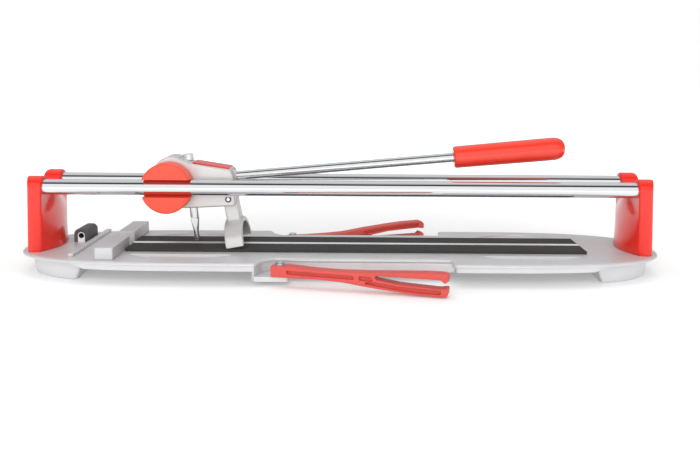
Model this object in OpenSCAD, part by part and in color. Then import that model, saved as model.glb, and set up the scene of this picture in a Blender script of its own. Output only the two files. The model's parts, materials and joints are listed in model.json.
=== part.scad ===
// Manual tile cutter with two round rails, a lever head, a breaking rib and two swing-out side arms.
// Frame: +X along the rails, +Y away from the front edge, +Z up. Origin: centre of the base, on the table.

/* [Rails] */
// Distance between the inner faces of the two end posts
rail_span = 610; // [600:1:640]
// Rail diameter
rail_d = 16; // [14:0.5:16]
// Distance between the two rail centres
rail_pitch = 58; // [57:0.5:60]
// Height of the rail centres above the table
rail_z = 89.5; // [89:0.5:92]

/* [Base] */
// Width of the base at its middle
base_w = 170; // [168:1:176]
// Height of the base's top face
base_top = 23; // [22.5:0.1:23.5]
// Thickness of the base's top plate
plate_t = 4; // [3.5:0.5:4.5]
// Wall thickness of the skirt and the end feet
wall = 3; // [2.5:0.5:3.5]

/* [Breaking surface] */
// Thickness of the two rubber strips
strip_t = 3; // [2.5:0.1:3]
// Width of each rubber strip
strip_w = 29.9; // [26:0.1:31]
// Width of the breaking rib
rib_w = 5; // [4:0.5:5]

/* [Carriage] */
// Place of the carriage along the rails as stored
carriage_x = -178; // [-185:1:-165]
// Radius of the red slider discs
disc_r = 26; // [25:0.5:27]
// Width of the head casting
head_w = 35; // [33:0.5:35]

/* [Lever] */
// Rise of the lever above the horizontal as stored
lever_angle = 5.2; // [3:0.1:8]
// Diameter of the lever rod
rod_d = 10; // [8:0.5:11]
// Length of the grip
grip_len = 118; // [100:1:130]

/* [Side arms] */
// Length of a side arm from its pivot to its tip
arm_len = 165; // [150:1:166]
// Width of a side arm seen from above
arm_w = 13; // [11:0.5:14]
// Opening of the front arm as stored
front_arm_open = 12.5; // [0:0.5:60]
// Opening of the rear arm as stored
rear_arm_open = 19; // [0:0.5:60]

/* [Hidden] */
$fn = 48;

fit = 0.05;                        // radial clearance of a pin or a rail in its bore
rail_r = rail_d / 2;
rail_y = rail_pitch / 2;
half_span = rail_span / 2;
plate_low = base_top - plate_t;
strip_top = base_top + strip_t;
strip_x0 = -222;
strip_x1 = 256;
strip_y0 = 3.7;

// Base outline: straight sides that run into superellipse ends
end_x = 150;
end_len = 184;
end_power = 2.7;
end_steps = 14;
skirt_low = 14.5;
drum_low = 1.2;
drum_inset = 10;
drum_x = 256;
pad_x = 272;
pad_y = 50;
pad_boss_r = 9;
recess_x1 = 113;
recess_y = 62;
recess_low = 10;

// Side arm pivots and the lugs that carry them
pivot_x = -57;
pivot_y = 83;
lug_low = 5;
lug_top = 10.2;
arm_low = 10.6;
arm_top = 21.8;
// The rear arm is the same part turned over, with its eye this much lower
rear_drop = 4.6;

// Posts
hump_len = 14.8;
post_half_y = 40;
hump_r = 11.5;
rail_sink = 7;
web_t = 3;
rail_end = half_span + rail_sink - 0.1;
web_out = half_span + rail_sink + web_t;

// Head and its pins, as distances from the disc centre
head_half = head_w / 2;
hub_r = 12;
hub_in = 8;
slider_back = head_half + 0.3;
slider_face = 40;
channel_half = 9.15;
hump_head_r = 30.5;
break_pin_x = carriage_x + 61;
break_pin_z = 75.6;
break_pin_r = 2;
break_tilt = 10.5;
foot_drop = 48.2;
wheel_x = carriage_x + 24.4;
wheel_z = 30.4;
wheel_r = 3;
wheel_pin_r = 0.75;
holder_tilt = 5;
holder_r = 4.75;
lever_x = carriage_x + 62.6;
lever_z = rail_z + 8.7;
rod_start = -18;
grip_start = 236.3;
grip_r = 11.6;

function quadrant(inset, sx, sy) =
    [for (i = [0:end_steps]) let (t = 90 * i / end_steps)
        [sx * (end_x + (end_len - inset) * pow(cos(t), 2 / end_power)),
         sy * (base_w / 2 - inset) * pow(sin(t), 2 / end_power)]];

function reversed(list) = [for (i = [len(list) - 1:-1:0]) list[i]];

// Plan curve of the pocket that a folded side arm lies in, grown by g into the plate
function recess_points(g) = concat(
    [[-84 - g, -base_w / 2 - 6]],
    [for (i = [0:8]) let (t = i / 8) [-83 - g + 19 * pow(t, 1.3), -85 + g * t + 28 * (1 - pow(1 - t, 1.3))]],
    [for (i = [0:4]) let (t = i / 4) [-54 + 12 * t, -57 + g - (recess_y - 57) * (1 - cos(180 * t)) / 2]],
    [[recess_x1 + g, -recess_y + g], [recess_x1 + g, -base_w / 2 - 6]]);

module outline(inset) {
    polygon(concat(quadrant(inset, 1, 1), reversed(quadrant(inset, -1, 1)),
                   quadrant(inset, -1, -1), reversed(quadrant(inset, 1, -1))));
}

module plate_2d(inset) {
    difference() {
        outline(inset);
        for (side = [0, 1]) mirror([0, side, 0]) polygon(recess_points(inset));
    }
}

module ring_2d() {
    difference() {
        plate_2d(0);
        plate_2d(wall);
    }
}

// A vertical cylinder from z0 to z1
module post_cyl(x, y, z0, z1, r) {
    translate([x, y, z0]) cylinder(r = r, h = z1 - z0);
}

// A cylinder along Y from y0 to y1
module y_cyl(x, z, y0, y1, r) {
    translate([x, y1, z]) rotate([90, 0, 0]) cylinder(r = r, h = y1 - y0);
}

// A cylinder along X from x0 to x1
module x_cyl(y, z, x0, x1, r) {
    translate([x0, y, z]) rotate([0, 90, 0]) cylinder(r = r, h = x1 - x0);
}

// Extrudes a profile drawn in X and Z along Y, centred on y = 0
module slab_xz(depth) {
    translate([0, depth / 2, 0]) rotate([90, 0, 0]) linear_extrude(depth) children();
}

// Extrudes a profile drawn in Y and Z along X from x0 to x1
module slab_yz(x0, x1) {
    translate([x0, 0, 0]) rotate([90, 0, 90]) linear_extrude(x1 - x0) children();
}

// ---------- base ----------

// End foot under the base: a wall set in from the edge, closed by a cross wall, with bosses for the pads
module end_foot() {
    difference() {
        union() {
            translate([0, 0, drum_low]) linear_extrude(plate_low - drum_low) difference() {
                intersection() {
                    outline(drum_inset);
                    translate([drum_x, -100]) square([100, 200]);
                }
                intersection() {
                    outline(drum_inset + wall);
                    translate([drum_x + wall, -100]) square([100, 200]);
                }
            }
            for (y = [-pad_y, pad_y]) post_cyl(pad_x, y, 3, plate_low, pad_boss_r);
        }
        for (y = [-pad_y, pad_y]) post_cyl(pad_x, y, 2, 12, 2.5 + fit);
    }
}

module right_foot() {
    color("whitesmoke") end_foot();
}

module left_foot() {
    color("whitesmoke") mirror([1, 0, 0]) end_foot();
}

// Wall of the arm pocket below the skirt, with the lug that holds the arm's pivot screw
module arm_lug(drop = 0) {
    difference() {
        union() {
            translate([0, 0, recess_low]) linear_extrude(skirt_low - recess_low) intersection() {
                ring_2d();
                translate([-48, -recess_y - 4]) square([recess_x1 + 50, 12]);
            }
            translate([0, 0, lug_low - drop]) linear_extrude(skirt_low - lug_low + drop) intersection() {
                ring_2d();
                translate([-86, -86]) square([40, 36]);
            }
            translate([0, 0, lug_low - drop]) linear_extrude(lug_top - lug_low)
                polygon([[-66, -56], [-80, -72], [-84, -80], [-84, -84], [-81, -86], [-51, -86], [-49, -84], [-49, -59]]);
        }
        post_cyl(pivot_x, -pivot_y, lug_low - drop - 1, lug_top + 1, 2.5 + fit);
    }
}

module front_arm_lug() {
    color("lightgray") arm_lug();
}

module rear_arm_lug() {
    color("lightgray") mirror([0, 1, 0]) arm_lug(rear_drop);
}

// Shallow pocket in the top face, with a straight inner edge and a bowed outer edge
module lens_pocket(x0, x1, y_in, bow) {
    steps = 12;
    translate([0, 0, base_top - 2.6]) linear_extrude(4) polygon(concat(
        [for (i = [0:steps]) let (t = i / steps) [x0 + (x1 - x0) * t, -y_in - bow * sin(180 * t)]],
        [[x1 - 1, -y_in + 1], [x0 + 1, -y_in + 1]]));
}

module base_plate() {
    color("gainsboro") difference() {
        union() {
            translate([0, 0, plate_low]) linear_extrude(plate_t) plate_2d(0);
            translate([0, 0, skirt_low]) linear_extrude(plate_low - skirt_low) ring_2d();
            translate([-273, -60, base_top - 1]) cube([6, 133, 4.2]);
        }
        for (side = [0, 1]) mirror([0, side, 0]) {
            lens_pocket(-216, -109, 45, 26);
            lens_pocket(146, 248, 45, 26);
        }
        translate([strip_x0, -rib_w / 2 - fit, base_top - 2]) cube([strip_x1 - strip_x0, rib_w + 2 * fit, 3]);
        for (x = [-311, 311], y = [-18, 18]) post_cyl(x, y, plate_low - 1, base_top + 1, 3.2);
        for (y = [-60, -26, 26, 60]) post_cyl(-232.75, y, plate_low - 1, base_top + 1, 2.2);
        for (x = [-180:140:240]) post_cyl(x, 0, plate_low - 1, base_top + 1, 1.7);
        post_cyl(-282.5, 42.5, plate_low - 1, base_top + 1, 2.2);
    }
}

module foot_pads() {
    color("dimgray") for (x = [-pad_x, pad_x], y = [-pad_y, pad_y]) {
        post_cyl(x, y, 0, 3, 8);
        post_cyl(x, y, 2.9, 11, 2.5);
    }
}

module breaking_rib() {
    color("white") difference() {
        slab_yz(strip_x0 + 0.3, strip_x1 - 0.3) polygon([
            [-rib_w / 2, base_top - 2], [rib_w / 2, base_top - 2], [rib_w / 2, strip_top],
            [rib_w / 2 - 1, strip_top + 0.8], [-rib_w / 2 + 1, strip_top + 0.8], [-rib_w / 2, strip_top]]);
        for (x = [-180:140:240]) post_cyl(x, 0, base_top - 3, strip_top - 1, 1.5 + fit);
    }
}

// Screw driven upward: a round head under z0 with a hexagon socket, and a plain shank up to z1
module up_screw(x, y, z0, z1, r, head_r, head_h) {
    difference() {
        union() {
            post_cyl(x, y, z0 - head_h, z0, head_r);
            post_cyl(x, y, z0 - 0.1, z1, r);
        }
        translate([x, y, z0 - head_h - 1]) cylinder(r = r * 0.9, h = head_h * 0.6 + 1, $fn = 6);
    }
}

module rib_screws() {
    color("silver") for (x = [-180:140:240]) up_screw(x, 0, plate_low, strip_top - 1.5, 1.5, 2.8, 2.4);
}

module rubber_strip(side) {
    y0 = side < 0 ? -strip_y0 - strip_w : strip_y0;
    color("dimgray") translate([strip_x0, y0, base_top]) cube([strip_x1 - strip_x0, strip_w, strip_t]);
}

module rubber_strip_front() {
    rubber_strip(-1);
}

module rubber_strip_rear() {
    rubber_strip(1);
}

// One half of the cast stop that the tile's edge is laid against
module stop_block() {
    block_h = 12.2;
    difference() {
        translate([-242, 0, 0]) slab_xz_from(10, 73.5) polygon([
            [0, base_top], [18.5, base_top], [18.5, base_top + block_h - 1], [17.5, base_top + block_h],
            [1, base_top + block_h], [0, base_top + block_h - 1]]);
        for (y = [26, 60]) post_cyl(-232.75, y, base_top - 1, base_top + 9, 2 + fit);
    }
}

module slab_xz_from(y0, y1) {
    translate([0, y1, 0]) rotate([90, 0, 0]) linear_extrude(y1 - y0) children();
}

module stop_block_front() {
    color("silver") mirror([0, 1, 0]) stop_block();
}

module stop_block_rear() {
    color("silver") stop_block();
}

module stop_screws() {
    color("silver") for (y = [-60, -26, 26, 60]) up_screw(-232.75, y, plate_low, base_top + 8, 2, 3.6, 3);
}

// Holder for spare wheels: an inverted U with a closed back end
module wheel_case() {
    top = base_top + 14.5;
    color("dimgray") difference() {
        slab_xz_from(11, 47) polygon([
            [-290, base_top], [-275, base_top], [-275, top - 5], [-275.7, top - 2.5], [-277.5, top - 0.7],
            [-280, top], [-285, top], [-287.5, top - 0.7], [-289.3, top - 2.5], [-290, top - 5]]);
        translate([-286.5, 10, base_top - 1]) cube([8, 28, 12.2]);
        post_cyl(-282.5, 42.5, base_top - 1, base_top + 9, 2 + fit);
    }
}

module case_insert() {
    color("whitesmoke") difference() {
        translate([-286.4, 12, base_top]) cube([7.8, 25.8, 11]);
        y_cyl(-282.5, base_top + 7, 11, 32, 2.9);
    }
}

module case_screw() {
    color("silver") up_screw(-282.5, 42.5, plate_low, base_top + 8, 2, 3.6, 3);
}

// ---------- posts and rails ----------

// Plan of a post at one level: bowed outside and inside, the inside towards the middle of the base
module post_plan(out_edge, out_mid, in_edge, in_mid) {
    steps = 10;
    function bow(edge, mid, t) = edge + (mid - edge) * (1 - t * t);
    polygon(concat(
        [for (i = [0:steps]) let (t = -1 + 2 * i / steps) [-half_span + bow(in_edge, in_mid, t), post_half_y * t]],
        [for (i = [0:steps]) let (t = 1 - 2 * i / steps) [-half_span + bow(out_edge, out_mid, t), post_half_y * t]]));
}

module end_post() {
    difference() {
        union() {
            hull() {
                translate([0, 0, base_top]) linear_extrude(0.5) post_plan(-16, -21, -2.5, 9);
                translate([0, 0, rail_z + 2]) linear_extrude(0.5) post_plan(-14.2, -21.5, 0, 1);
            }
            for (y = [-rail_y, rail_y]) x_cyl(y, rail_z, -half_span - hump_len, -half_span, hump_r);
        }
        for (y = [-rail_y, rail_y]) {
            x_cyl(y, rail_z, -half_span - rail_sink, -half_span + 12, rail_r + fit);
            x_cyl(y, rail_z, -half_span - hump_len - 8, -half_span, 4.25);
            x_cyl(y, rail_z, -half_span - hump_len - 8, -web_out, 7);
        }
        for (y = [-18, 18]) post_cyl(-311, y, base_top - 1, base_top + 22, 3 + fit);
    }
}

module left_post() {
    color("red") end_post();
}

module right_post() {
    color("red") mirror([1, 0, 0]) end_post();
}

module post_screws() {
    color("silver") for (x = [-311, 311], y = [-18, 18]) up_screw(x, y, plate_low, base_top + 20, 3, 5, 5);
}

module rail(y) {
    color("lightgray") difference() {
        x_cyl(y, rail_z, -rail_end, rail_end, rail_r);
        for (end = [-1, 1]) x_cyl(y, rail_z, min(end * rail_end, end * (rail_end - 25)) - 1,
                                  max(end * rail_end, end * (rail_end - 25)) + 1, 4 + fit);
    }
}

module front_rail() {
    rail(-rail_y);
}

module rear_rail() {
    rail(rail_y);
}

module rail_screws() {
    color("silver") for (end = [0, 1], y = [-rail_y, rail_y]) mirror([end, 0, 0]) difference() {
        union() {
            x_cyl(y, rail_z, -web_out, -rail_end + 22, 4);
            x_cyl(y, rail_z, -web_out - 4.5, -web_out, 6.5);
        }
        translate([-web_out - 5, y, rail_z]) rotate([0, 90, 0]) cylinder(r = 3.4, h = 3.5, $fn = 6);
    }
}

// ---------- carriage ----------

// Disc with an open channel that rides on a rail, and a hub that the head turns on
module slider() {
    difference() {
        union() {
            y_cyl(carriage_x, rail_z, -slider_face, -slider_back, disc_r);
            y_cyl(carriage_x, rail_z, -slider_back - 0.1, -hub_in, hub_r);
        }
        x_cyl(-rail_y, rail_z, carriage_x - 40, carriage_x + 40, rail_r + 0.08);
        translate([carriage_x - 40, -slider_face - 1, rail_z - channel_half])
            cube([80, slider_face + 1 - rail_y, 2 * channel_half]);
        y_cyl(carriage_x, rail_z, -19.6, -hub_in + 1, 4 + fit);
    }
}

module slider_front() {
    color("tomato") slider();
}

module slider_rear() {
    color("tomato") mirror([0, 1, 0]) slider();
}

module head_axle() {
    color("silver") y_cyl(carriage_x, rail_z, -19.4, 19.4, 4);
}

// Places the children along the wheel holder's tilted axis, origin at the wheel's centre, +Z up the holder
module on_holder() {
    translate([wheel_x, 0, wheel_z]) rotate([0, -holder_tilt, 0]) children();
}

// Places the children along the lever's axis, origin at the head's nose, +Z out towards the grip
module on_lever() {
    translate([lever_x, 0, lever_z]) rotate([0, 90 - lever_angle, 0]) children();
}

strip_low_x = carriage_x + 25;
strip_end_x = carriage_x + 63.5;
strip_low_z = 112.2;
strip_end_z = 106.5;

module head_casting() {
    color("lightgray") difference() {
        union() {
            slab_xz(head_w) polygon([
                [carriage_x - 4, 66], [carriage_x + 20, 65.8], [carriage_x + 42, 67], [carriage_x + 68, 68.5],
                [carriage_x + 68, 84], [carriage_x + 66, 103], [carriage_x + 64, 106.9],
                [carriage_x + 20, 113.6], [carriage_x + 8, 118.9], [carriage_x - 4, 118.9]]);
            y_cyl(carriage_x, rail_z, -head_half, head_half, 25);
            intersection() {
                y_cyl(carriage_x, rail_z, -head_half, head_half, hump_head_r);
                translate([carriage_x - 40, -30, rail_z]) cube([62, 60, 40]);
            }
        }
        for (side = [0, 1]) mirror([0, side, 0]) y_cyl(carriage_x, rail_z, -head_half - 1, -hub_in + 0.3, hub_r + 0.06);
        y_cyl(carriage_x, rail_z, -20, 20, 4.6);
        on_holder() cylinder(r = holder_r + fit, h = 86);
        on_holder() translate([0, 0, 84.4]) cylinder(r = 5.6, h = 20);
        on_lever() translate([0, 0, rod_start - 0.3]) cylinder(r = rod_d / 2 + fit, h = 60);
        translate([carriage_x + 43, -9.2, 55]) cube([40, 18.4, 31]);
        y_cyl(break_pin_x, break_pin_z, -20, 20, break_pin_r + fit);
        y_cyl(carriage_x + 56, lever_z - 0.7, 4, 20, 3 + fit);
        translate([0, 14, 0]) rotate([90, 0, 0]) linear_extrude(28) polygon([
            [strip_low_x, strip_low_z - 0.2], [strip_end_x, strip_end_z - 0.2],
            [strip_end_x, strip_end_z + 9], [strip_low_x, strip_low_z + 9]]);
    }
}

module head_top_strip() {
    color("red") slab_xz(28) polygon([
        [strip_low_x, strip_low_z - 0.2], [strip_end_x, strip_end_z - 0.2],
        [strip_end_x, strip_end_z + 1], [strip_end_x - 1, strip_end_z + 2],
        [strip_low_x + 1, strip_low_z + 2.2], [strip_low_x, strip_low_z + 1.2]]);
}

module lever_rod() {
    color("silver") on_lever() translate([0, 0, rod_start]) cylinder(r = rod_d / 2, h = grip_start - rod_start + 88);
}

module lever_grip() {
    tip = grip_len;
    color("tomato") on_lever() translate([0, 0, grip_start]) difference() {
        rotate_extrude() polygon(concat(
            [[0, 0], [grip_r - 3, 0], [grip_r - 1, 0.8], [grip_r - 0.2, 3]],
            [[grip_r + 0.5, tip - 26]],
            [for (a = [0:10:90]) [(grip_r + 0.5) * pow(cos(a), 0.7), tip - 13 + 13 * pow(sin(a), 0.8)]]));
        translate([0, 0, -1]) cylinder(r = rod_d / 2 + fit, h = 90);
    }
}

module lever_set_screw() {
    color("dimgray") difference() {
        y_cyl(carriage_x + 56, lever_z - 0.7, rod_d / 2 + 0.1, 16, 3);
        translate([carriage_x + 56, 17, lever_z - 0.7]) rotate([90, 0, 0]) cylinder(r = 1.7, h = 4, $fn = 6);
    }
}

// Rod that carries the scoring wheel in a slot at its lower end
module wheel_holder() {
    color("lightgray") difference() {
        on_holder() difference() {
            rotate_extrude() polygon([
                [0, -1.6], [1.6, -1.4], [2.8, 0], [2.8, 9], [4.2, 18], [holder_r, 24], [holder_r, 84], [0, 84]]);
            translate([-6, -0.8, -4]) cube([12, 1.6, 8.5]);
            translate([0, 0, 70]) cylinder(r = 2.5 + fit, h = 20);
        }
        y_cyl(wheel_x, wheel_z, -4, 4, wheel_pin_r + fit);
    }
}

module holder_screw() {
    color("white") on_holder() difference() {
        union() {
            translate([0, 0, 72]) cylinder(r = 2.5, h = 13);
            translate([0, 0, 84.4]) cylinder(r = 4.6, h = 7.6);
        }
        translate([0, 0, 89]) cylinder(r = 2.4, h = 4, $fn = 6);
    }
}

module wheel_pin() {
    color("dimgray") y_cyl(wheel_x, wheel_z, -2.9, 2.9, wheel_pin_r);
}

module scoring_wheel() {
    color("gray") translate([wheel_x, 0, wheel_z]) rotate([90, 0, 0]) rotate_extrude() polygon([
        [wheel_pin_r + 0.05, -0.6], [wheel_r - 1, -0.6], [wheel_r, -0.08],
        [wheel_r, 0.08], [wheel_r - 1, 0.6], [wheel_pin_r + 0.05, 0.6]]);
}

// Arch that stands astride the rib, on an arm that swings from the head's nose
module breaker_foot() {
    steps = 24;
    arch_w = 34;
    arch_h = 25.5;
    arch_t = 5.5;
    color("lightgray") translate([break_pin_x, 0, break_pin_z]) rotate([0, -break_tilt, 0]) difference() {
        union() {
            slab_yz(-9.5, 9.5) polygon(concat(
                [for (i = [0:steps]) let (a = 180 * i / steps) [arch_w * cos(a), -foot_drop + arch_h * sin(a)]],
                [for (i = [steps:-1:0]) let (a = 180 * i / steps)
                    [(arch_w - arch_t) * cos(a), -foot_drop + (arch_h - arch_t) * sin(a)]]));
            translate([-7.5, -9, -foot_drop + arch_h - 3]) cube([15, 18, foot_drop - arch_h + 3]);
            y_cyl(0, 0, -9, 9, 7.5);
        }
        y_cyl(0, 0, -12, 12, break_pin_r + 0.06);
    }
}

module breaker_pin() {
    color("silver") y_cyl(break_pin_x, break_pin_z, -18.7, 18.7, break_pin_r);
}

module breaker_clips() {
    color("dimgray") for (side = [0, 1]) mirror([0, side, 0]) difference() {
        y_cyl(break_pin_x, break_pin_z, -18.4, -17.6, 3.3);
        y_cyl(break_pin_x, break_pin_z, -19, -17, break_pin_r + fit);
        translate([break_pin_x - 1, -19, break_pin_z]) cube([2, 2, 5]);
    }
}

// ---------- side arms ----------

// Arm drawn in its own plane: X from the pivot to the tip, Z up. The tip forks into a carrying and a resting leg.
module arm_side() {
    tip = arm_len;
    polygon([
        [-8, arm_low], [22, arm_low], [40, 10.5], [62, 9.7], [91, 6], [119, 3.2], [139, 1.6], [tip - 3, 1],
        [tip, 4], [tip, 12], [tip - 6, 11.4], [tip - 8, 11.2], [tip - 25, 12],
        [97, 14.4], [95, 16.2], [97, 17.9], [tip - 7, 17.4], [tip - 5, 15.4], [tip - 3, 14.2], [tip, 16.8],
        [tip, 22.4], [tip - 4, 23.4], [tip - 22, 23.3], [tip - 46, 22.1], [90, 20.6], [62, 19.8], [36, 20.2],
        [16, arm_top - 0.4], [8, arm_top], [-8, arm_top]]);
}

// Pockets sunk into each side face of an arm
module arm_pockets() {
    polygon([[8, 14.2], [8, 17.8], [75, 16.4], [75, 12.9]]);
    polygon([[80, 12.6], [80, 16.8], [91, 16.6], [93, 14.4], [93, 12]]);
    polygon([[97, 8.2], [97, 11.8], [118, 9.8], [157, 8.6], [157, 4.4], [139, 4.4], [119, 5.8]]);
}

module side_arm() {
    depth = 2.2;
    difference() {
        slab_xz(arm_w) arm_side();
        for (side = [-1, 1]) translate([0, side * (arm_w / 2 - depth / 2 + 0.5), 0]) slab_xz(depth + 1) arm_pockets();
        post_cyl(0, 0, arm_low - 1, arm_top + 1, 2.5 + 0.08);
    }
}

module front_arm() {
    color("tomato") translate([pivot_x, -pivot_y, 0]) rotate([0, 0, -front_arm_open]) side_arm();
}

module rear_arm() {
    color("tomato") translate([pivot_x, pivot_y, arm_low + arm_top - rear_drop])
        rotate([0, 0, rear_arm_open]) mirror([0, 0, 1]) side_arm();
}

module arm_screws() {
    color("white") for (side = [-1, 1]) translate([0, 0, side > 0 ? -rear_drop : 0]) difference() {
        union() {
            post_cyl(pivot_x, side * pivot_y, lug_low, arm_top + 0.8, 2.5);
            post_cyl(pivot_x, side * pivot_y, arm_top + 0.7, arm_top + 3.4, 4.8);
        }
        translate([pivot_x, side * pivot_y, arm_top + 2]) cylinder(r = 2.2, h = 4, $fn = 6);
    }
}

module arm_washers() {
    color("silver") for (side = [-1, 1]) translate([0, 0, side > 0 ? -rear_drop : 0]) difference() {
        post_cyl(pivot_x, side * pivot_y, arm_top + 0.1, arm_top + 0.7, 6);
        post_cyl(pivot_x, side * pivot_y, arm_top - 1, arm_top + 2, 2.6);
    }
}

base_plate();
left_foot();
right_foot();
front_arm_lug();
rear_arm_lug();
foot_pads();
breaking_rib();
rib_screws();
rubber_strip_front();
rubber_strip_rear();
stop_block_front();
stop_block_rear();
stop_screws();
wheel_case();
case_insert();
case_screw();
left_post();
right_post();
post_screws();
front_rail();
rear_rail();
rail_screws();
slider_front();
slider_rear();
head_axle();
head_casting();
head_top_strip();
lever_rod();
lever_grip();
lever_set_screw();
wheel_holder();
holder_screw();
wheel_pin();
scoring_wheel();
breaker_foot();
breaker_pin();
breaker_clips();
front_arm();
rear_arm();
arm_screws();
arm_washers();
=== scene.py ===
"""Tile cutter: the looks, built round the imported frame. Helpers take millimetres in the part's frame."""

import json
import math

import bmesh
import bpy
from mathutils import Matrix, Vector
from mathutils.geometry import delaunay_2d_cdt


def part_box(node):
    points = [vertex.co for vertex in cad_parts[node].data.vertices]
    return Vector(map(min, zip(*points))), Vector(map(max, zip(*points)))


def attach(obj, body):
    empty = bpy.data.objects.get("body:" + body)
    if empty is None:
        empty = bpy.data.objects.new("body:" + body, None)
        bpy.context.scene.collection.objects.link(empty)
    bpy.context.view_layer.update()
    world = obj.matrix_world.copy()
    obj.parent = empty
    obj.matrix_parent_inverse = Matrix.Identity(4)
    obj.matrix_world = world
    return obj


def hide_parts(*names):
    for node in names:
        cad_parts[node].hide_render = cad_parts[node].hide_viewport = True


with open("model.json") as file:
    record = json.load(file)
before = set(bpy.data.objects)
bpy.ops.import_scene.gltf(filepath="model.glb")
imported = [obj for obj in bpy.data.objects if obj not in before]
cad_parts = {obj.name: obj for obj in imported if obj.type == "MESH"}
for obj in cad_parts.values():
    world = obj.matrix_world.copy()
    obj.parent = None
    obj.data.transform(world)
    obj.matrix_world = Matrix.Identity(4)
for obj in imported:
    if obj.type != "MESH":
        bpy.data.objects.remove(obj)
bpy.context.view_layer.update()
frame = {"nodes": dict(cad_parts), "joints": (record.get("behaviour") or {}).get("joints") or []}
joints = {j["name"]: j for j in frame["joints"]}

MM = 0.001
TAU = 2 * math.pi


def box(node):
    low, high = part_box(node)
    return low / MM, high / MM


def joint_place(name):
    return Vector(joints[name]["pos_m"]) / MM


# ---------- sizes read from the frame ----------

rail_low, rail_high = box("rear_rail")
RAIL_Y = (rail_low.y + rail_high.y) / 2
RAIL_Z = (rail_low.z + rail_high.z) / 2
RAIL_R = (rail_high.z - rail_low.z) / 2
RAIL_END = rail_high.x
RAIL_IN_POST = 6.9
POST_X = RAIL_END - RAIL_IN_POST
BASE_TOP = box("rubber_strip_front")[0].z
BASE_END = box("base_plate")[1].x
BASE_HALF = box("base_plate")[1].y
PLATE_LOW = BASE_TOP - 4
SKIRT_LOW = box("base_plate")[0].z
DISC = joint_place("lever_lift")
BREAK_PIN = joint_place("breaker_swing")
WHEEL = joint_place("wheel_spin")
FRONT_PIVOT = joint_place("front_arm_swing")
REAR_PIVOT = joint_place("rear_arm_swing")

# ---------- mesh helpers ----------

ALONG_Y = Matrix(((1, 0, 0, 0), (0, 0, 1, 0), (0, 1, 0, 0), (0, 0, 0, 1)))
ALONG_X = Matrix(((0, 0, 1, 0), (1, 0, 0, 0), (0, 1, 0, 0), (0, 0, 0, 1)))
ALONG_Z = Matrix.Identity(4)
MIRROR_X = Matrix.Diagonal((-1, 1, 1, 1))
MIRROR_Y = Matrix.Diagonal((1, -1, 1, 1))


def mixed(a, b, t):
    return a + (b - a) * t


def at(x, y, z):
    return Matrix.Translation((x, y, z))


def turn(degrees, axis):
    return Matrix.Rotation(math.radians(degrees), 4, axis)


def arc(cx, cy, r, start, end, steps=12):
    """Points on a circle from start to end, in degrees."""
    angles = [math.radians(start + (end - start) * i / steps) for i in range(steps + 1)]
    return [(cx + r * math.cos(a), cy + r * math.sin(a)) for a in angles]


def circle(cx, cy, r, steps=48):
    return arc(cx, cy, r, 0, 360, steps)[:-1]


def area(points):
    ends = points[1:] + points[:1]
    return sum(a[0] * b[1] - b[0] * a[1] for a, b in zip(points, ends)) / 2


def ccw(points):
    return list(points) if area(points) > 0 else list(reversed(points))


def rounded(points, radius, steps=6):
    """A closed outline with rounded corners. A third number at a point is that corner's own radius."""
    out = []
    count = len(points)
    for i, p in enumerate(points):
        r = p[2] if len(p) > 2 else radius
        before, here, after = (Vector(points[k % count][:2]) for k in (i - 1, i, i + 1))
        u, v = before - here, after - here
        reach = 0.48 * min(u.length, v.length)
        u.normalize()
        v.normalize()
        half = u.angle(v) / 2
        if r <= 0 or half > 1.55:
            out.append((here.x, here.y))
            continue
        t = min(r / math.tan(half), reach)
        r = t * math.tan(half)
        centre = here + (u + v).normalized() * (r / math.sin(half))
        start = here + u * t - centre
        sweep = start.angle_signed(here + v * t - centre)
        for k in range(steps + 1):
            a = -sweep * k / steps
            out.append((centre.x + start.x * math.cos(a) - start.y * math.sin(a),
                        centre.y + start.x * math.sin(a) + start.y * math.cos(a)))
    return out


def inset(points, d):
    """A counter-clockwise outline moved inward by d at every side."""
    out = []
    count = len(points)
    for i, p in enumerate(points):
        a = Vector(p) - Vector(points[i - 1])
        b = Vector(points[(i + 1) % count]) - Vector(p)
        a.normalize()
        b.normalize()
        n = Vector((-a.y - b.y, a.x + b.x))
        n.normalize()
        grow = max(0.35, n.dot(Vector((-a.y, a.x))))
        out.append((p[0] + n.x * d / grow, p[1] + n.y * d / grow))
    return out


def ring(bm, points, place=ALONG_Z):
    return [bm.verts.new((place @ Vector(p)) * MM) for p in points]


def bridge(bm, a, b):
    count = len(a)
    for i in range(count):
        k = (i + 1) % count
        bm.faces.new((a[i], a[k], b[k], b[i]))


def loft(bm, rings):
    for a, b in zip(rings, rings[1:]):
        bridge(bm, a, b)


def cap(bm, *loops):
    """Fills the first loop, with the others as holes."""
    edges = []
    for loop in loops:
        for a, b in zip(loop, loop[1:] + loop[:1]):
            edges.append(bm.edges.get((a, b)) or bm.edges.new((a, b)))
    bmesh.ops.triangle_fill(bm, edges=edges, use_beauty=True)


def closed(bm, rings):
    """A solid made of rings, with both end rings filled."""
    loft(bm, rings)
    cap(bm, rings[0])
    cap(bm, rings[-1])


def edge_rings(low, high, edge, steps=3):
    """(inset, height) pairs that round both edges of a slab."""
    turns = [math.radians(90 * k / steps) for k in range(steps + 1)]
    lower = [(edge * (1 - math.sin(t)), low + edge * (1 - math.cos(t))) for t in turns]
    upper = [(d, high + low - h) for d, h in reversed(lower)]
    return lower + upper


def prism(bm, outline, low, high, place=ALONG_Z, edge=1.0, holes=(), steps=3):
    """A slab with rounded edges: the outline swept from low to high, with holes through it."""
    bottoms, tops = [], []
    for path, sign in [(outline, 1)] + [(h, -1) for h in holes]:
        path = ccw(path)
        made = [ring(bm, [(*p, h) for p in inset(path, sign * d)], place)
                for d, h in edge_rings(low, high, edge, steps)]
        loft(bm, made)
        bottoms.append(made[0])
        tops.append(made[-1])
    cap(bm, *bottoms)
    cap(bm, *tops)


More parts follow.
